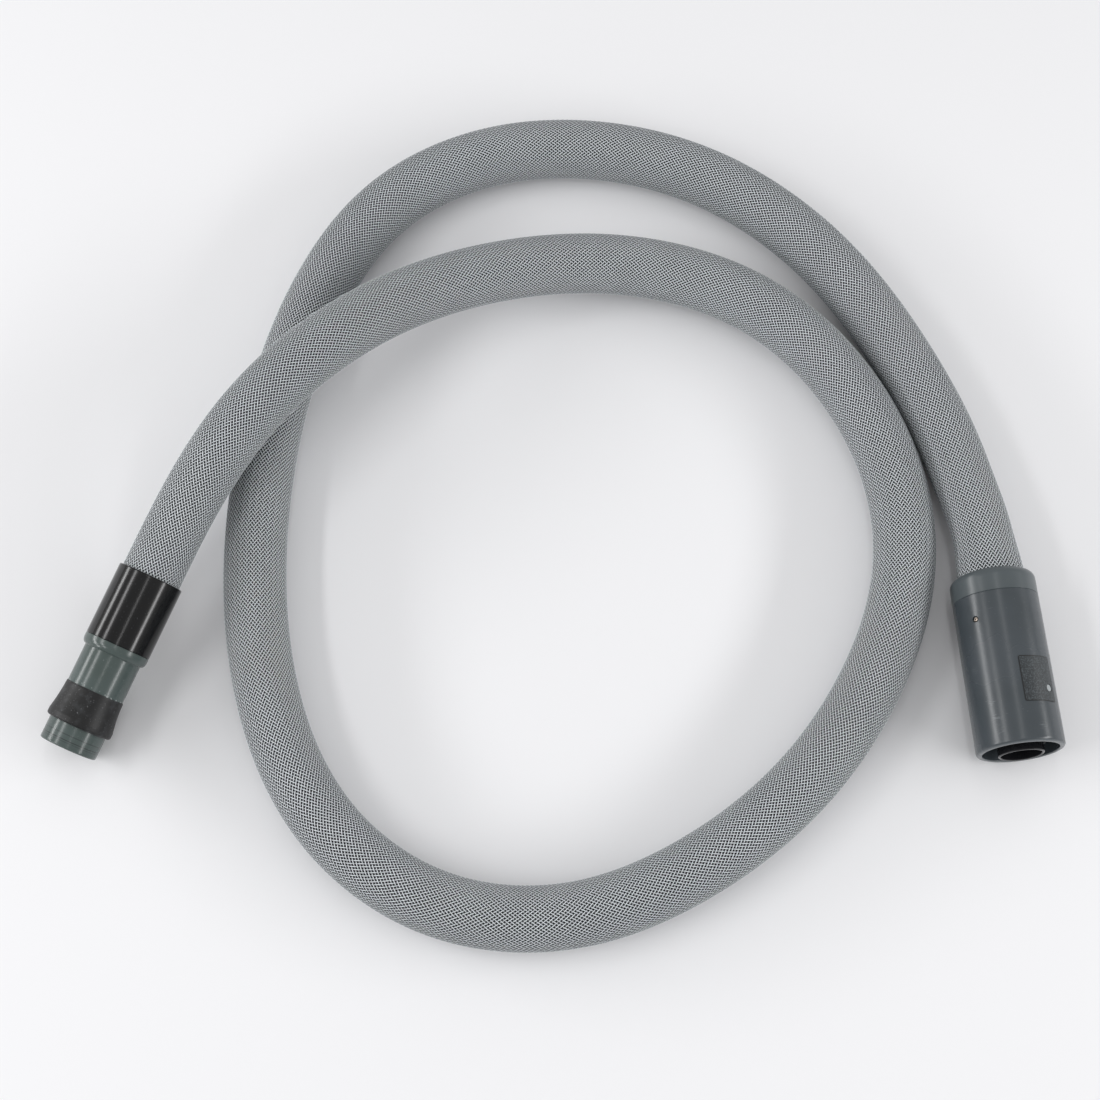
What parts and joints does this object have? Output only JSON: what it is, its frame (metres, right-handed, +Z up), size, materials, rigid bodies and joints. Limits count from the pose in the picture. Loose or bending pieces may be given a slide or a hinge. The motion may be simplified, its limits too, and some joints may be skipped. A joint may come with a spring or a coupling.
{
  "type": "vacuum hose",
  "caption": "Braided suction hose in a loose loop, with a turning machine plug at one end and a turning push-fit tool nozzle at the other.",
  "frame": {"origin": "on the surface the hose lies on, midway between the two end fittings (bottom centre of the fittings' common box)", "axes": "+Z up; +X from the tool nozzle towards the machine plug; both mouths face towards -Y and the loop lies to +Y"},
  "size_m": [0.6012, 0.5428, 0.0778],
  "materials": {
    "hose_plastic": "matte",
    "braid": "woven, slightly shiny strands",
    "plug_plastic": "satin",
    "cap_plastic": "satin",
    "dark_plastic": "gloss",
    "cuff_plastic": "high gloss",
    "nozzle_plastic": "satin",
    "rubber": "matte",
    "steel": "bright",
    "slide_plastic": "smooth",
    "pale_inlay": "matte"
  },
  "bodies": {
    "hose": {"inner_hose": "hose_plastic", "braided_sleeve": "braid", "sleeve_collar": "hose_plastic", "sleeve_band": "steel", "hose_clamp": "steel", "swivel_tail": "dark_plastic", "swivel_o_ring": "rubber", "tool_cuff": "cuff_plastic", "cuff_tail": "dark_plastic", "crimp_ring": "steel", "nozzle_o_ring": "rubber"},
    "machine_plug": {"plug_shell": "plug_plastic", "plug_cap": "cap_plastic", "plug_screws": "steel", "rear_slide_ring": "slide_plastic", "front_slide_ring": "slide_plastic", "air_tube": "dark_plastic", "face_seal": "rubber", "alignment_dot": "pale_inlay"},
    "nozzle": {"nozzle_tube": "nozzle_plastic", "rubber_sleeve": "rubber", "snap_ring": "steel", "wear_ring": "slide_plastic"}
  },
  "joints": [
    {"name": "plug_swivel", "type": "hinge", "parent": "hose", "child": "machine_plug", "pos_m": [0.266, 0.0525, 0.02601], "axis": [0.0872, -0.9962, 0], "continuous": true},
    {"name": "nozzle_swivel", "type": "hinge", "parent": "hose", "child": "nozzle", "pos_m": [-0.238, 0.049, 0.03838], "axis": [-0.4149, -0.8897, -0.1908], "continuous": true}
  ]
}
